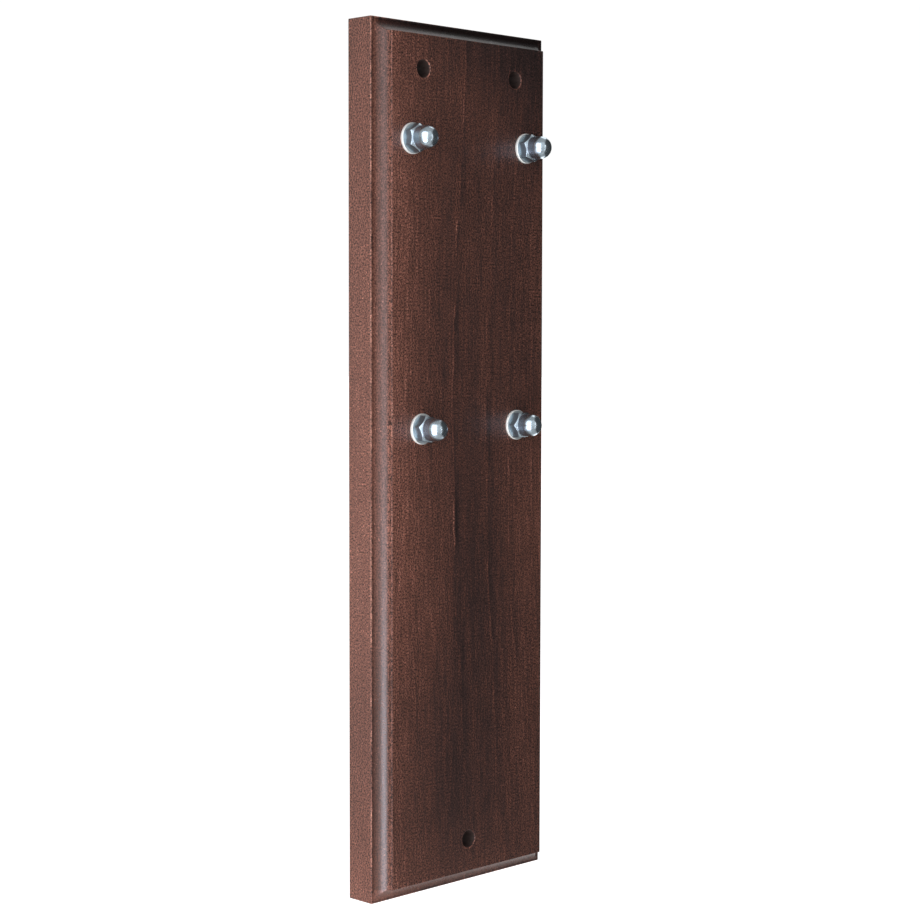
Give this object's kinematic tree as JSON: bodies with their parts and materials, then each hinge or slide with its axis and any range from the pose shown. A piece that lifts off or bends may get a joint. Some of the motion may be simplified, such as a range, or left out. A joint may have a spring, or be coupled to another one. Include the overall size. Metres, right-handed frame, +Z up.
{
  "type": "training dummy wall plate",
  "caption": "Upright stained hardwood wall plate with a coved front edge, carrying studs with flat washers and domed cap nuts for a wooden training dummy.",
  "frame": {"origin": "centre of the back face, which lies flat on the wall", "axes": "+X to the right as seen from the front, +Y into the wall, +Z up along the board's length"},
  "size_m": [0.168, 0.0555, 0.6],
  "materials": {
    "stained_beech": "dark stain under satin varnish",
    "zinc_plated_steel": "bright zinc plate",
    "bright_plated_steel": "polished bright plate"
  },
  "bodies": {
    "plate": {"board": "stained_beech", "carriage_bolt_upper_left": "zinc_plated_steel", "carriage_bolt_upper_right": "zinc_plated_steel", "carriage_bolt_lower_left": "zinc_plated_steel", "carriage_bolt_lower_right": "zinc_plated_steel"},
    "washer_upper_left": {"washer_upper_left": "zinc_plated_steel"},
    "nut_upper_left": {"cap_nut_upper_left": "bright_plated_steel"},
    "washer_upper_right": {"washer_upper_right": "zinc_plated_steel"},
    "nut_upper_right": {"cap_nut_upper_right": "bright_plated_steel"},
    "washer_lower_left": {"washer_lower_left": "zinc_plated_steel"},
    "nut_lower_left": {"cap_nut_lower_left": "bright_plated_steel"},
    "washer_lower_right": {"washer_lower_right": "zinc_plated_steel"},
    "nut_lower_right": {"cap_nut_lower_right": "bright_plated_steel"}
  },
  "joints": [
    {"name": "washer_travel_upper_left", "type": "slide", "parent": "plate", "child": "washer_upper_left", "axis": [0, -1, 0], "range_m": [0, 0.016]},
    {"name": "nut_turn_upper_left", "type": "hinge", "parent": "washer_upper_left", "child": "nut_upper_left", "pos_m": [-0.056, -0.035, 0.22], "axis": [0, -1, 0], "range_deg": [0, 3840]},
    {"name": "washer_travel_upper_right", "type": "slide", "parent": "plate", "child": "washer_upper_right", "axis": [0, -1, 0], "range_m": [0, 0.016]},
    {"name": "nut_turn_upper_right", "type": "hinge", "parent": "washer_upper_right", "child": "nut_upper_right", "pos_m": [0.056, -0.035, 0.22], "axis": [0, -1, 0], "range_deg": [0, 3840]},
    {"name": "washer_travel_lower_left", "type": "slide", "parent": "plate", "child": "washer_lower_left", "axis": [0, -1, 0], "range_m": [0, 0.016]},
    {"name": "nut_turn_lower_left", "type": "hinge", "parent": "washer_lower_left", "child": "nut_lower_left", "pos_m": [-0.047, -0.035, 0.024], "axis": [0, -1, 0], "range_deg": [0, 3840]},
    {"name": "washer_travel_lower_right", "type": "slide", "parent": "plate", "child": "washer_lower_right", "axis": [0, -1, 0], "range_m": [0, 0.016]},
    {"name": "nut_turn_lower_right", "type": "hinge", "parent": "washer_lower_right", "child": "nut_lower_right", "pos_m": [0.047, -0.035, 0.024], "axis": [0, -1, 0], "range_deg": [0, 3840]}
  ],
  "couplings": [
    {"joint": "washer_travel_upper_left", "follows": "nut_turn_upper_left", "m_per_rad": 0.00023873},
    {"joint": "washer_travel_upper_right", "follows": "nut_turn_upper_right", "m_per_rad": 0.00023873},
    {"joint": "washer_travel_lower_left", "follows": "nut_turn_lower_left", "m_per_rad": 0.00023873},
    {"joint": "washer_travel_lower_right", "follows": "nut_turn_lower_right", "m_per_rad": 0.00023873}
  ]
}
